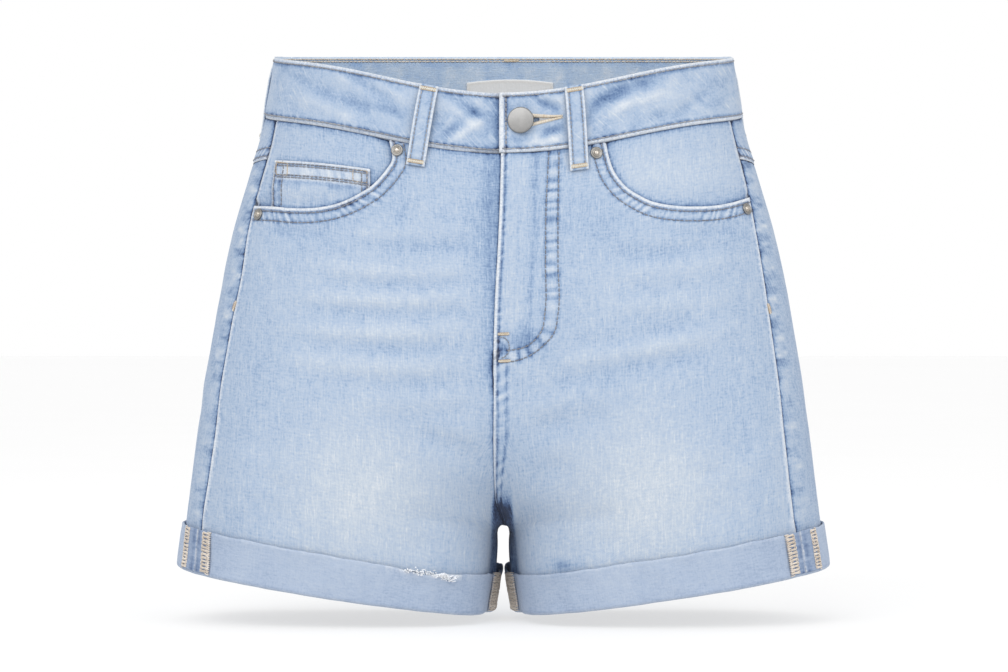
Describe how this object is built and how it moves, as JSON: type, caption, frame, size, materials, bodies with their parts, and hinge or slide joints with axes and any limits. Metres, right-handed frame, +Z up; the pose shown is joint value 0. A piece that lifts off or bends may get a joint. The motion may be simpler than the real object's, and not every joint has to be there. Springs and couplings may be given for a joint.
{
  "type": "denim shorts",
  "caption": "High-waisted denim shorts, filled out and hollow, with a waist button over a lapped fly, curved pocket mouths, belt loops and turned-up cuffs.",
  "frame": {"origin": "middle of the waist opening, level with the waistband's top edge at the sides, where a waist holds the garment", "axes": "+X to the wearer's left, -Y to the wearer's front, +Z up out of the waist opening"},
  "size_m": [0.4358, 0.205, 0.3783],
  "materials": {
    "denim": "light-wash blue twill with worn seams, pale thighs and soft whiskers at the hips",
    "denim_reverse": "paler, smoother reverse of the denim with overlocked seam allowances",
    "label": "bare beige woven label",
    "metal": "satin nickel"
  },
  "bodies": {
    "root": {"front_panel_left": "denim", "front_panel_right": "denim", "pocket_facing_left": "denim", "pocket_facing_right": "denim", "coin_pocket": "denim", "back_panel_left": "denim", "back_panel_right": "denim", "back_yoke_left": "denim", "back_yoke_right": "denim", "waistband": "denim", "belt_loop_front_right": "denim", "belt_loop_front_left": "denim", "belt_loop_side_right": "denim", "belt_loop_side_left": "denim", "belt_loop_back": "denim", "cuff_left": "denim_reverse", "cuff_right": "denim_reverse", "cuff_allowance_side_front_left": "denim_reverse", "cuff_allowance_side_front_right": "denim_reverse", "cuff_allowance_side_back_left": "denim_reverse", "cuff_allowance_side_back_right": "denim_reverse", "cuff_allowance_inseam_front_left": "denim_reverse", "cuff_allowance_inseam_front_right": "denim_reverse", "cuff_allowance_inseam_back_left": "denim_reverse", "cuff_allowance_inseam_back_right": "denim_reverse", "inner_label": "label", "waist_button": "metal", "rivet_right_inner": "metal", "rivet_right_outer": "metal", "rivet_left_inner": "metal", "rivet_left_outer": "metal"}
  },
  "joints": []
}
